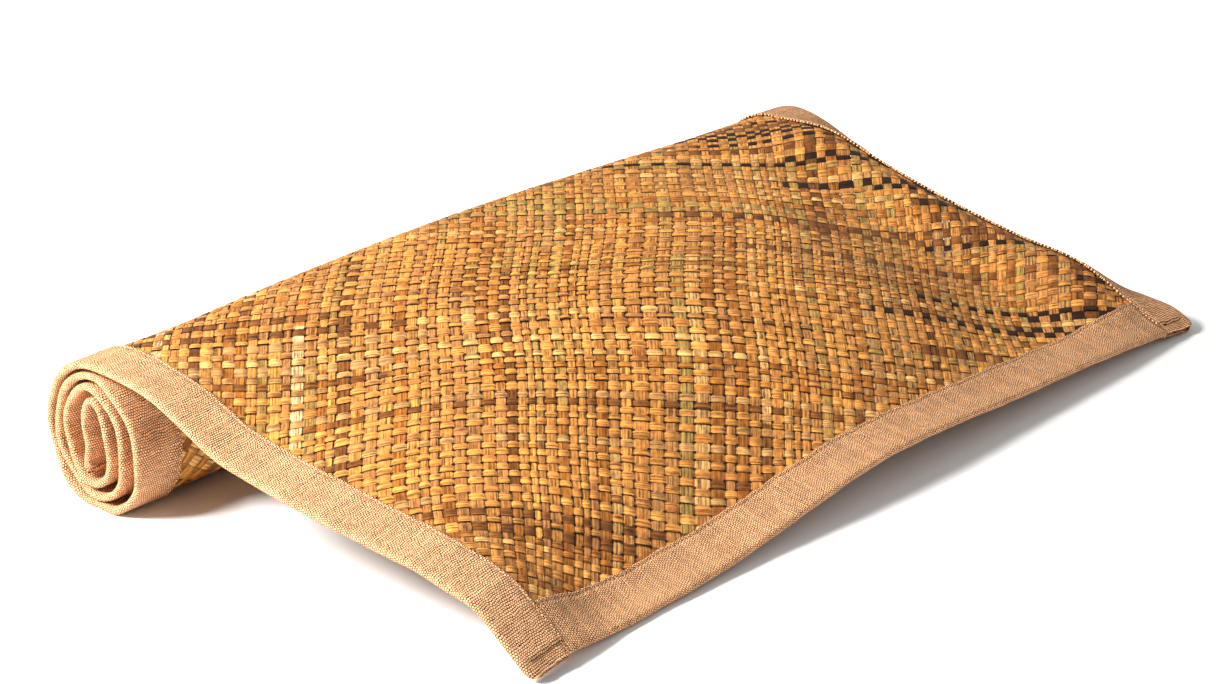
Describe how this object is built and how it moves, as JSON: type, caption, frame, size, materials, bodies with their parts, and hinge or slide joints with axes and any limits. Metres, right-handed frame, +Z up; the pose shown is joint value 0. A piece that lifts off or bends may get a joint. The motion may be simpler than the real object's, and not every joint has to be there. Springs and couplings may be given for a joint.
{
  "type": "rolled seagrass mat",
  "caption": "Rectangular plaited seagrass floor mat with cloth-bound edges, rolled under into a loose oval roll, its free part sloping down to the floor.",
  "frame": {"origin": "bottom centre of the bounding box, on the floor, metres", "axes": "X along the roll from its near end to its far end, Y from the free edge to the roll, Z up"},
  "size_m": [0.6008, 0.3466, 0.0873],
  "materials": {
    "plaited_seagrass": "dried seagrass strips in honey, straw, tan and brown, plaited one over one on the bias, half matt",
    "linen_binding": "coarse plain-woven linen strip in a warm pinkish tan, matt, folded over the edge and stitched"
  },
  "bodies": {
    "root": {"seagrass_panel": "plaited_seagrass", "near_binding": "linen_binding", "far_binding": "linen_binding", "free_end_binding": "linen_binding", "rolled_end_binding": "linen_binding"}
  },
  "joints": []
}
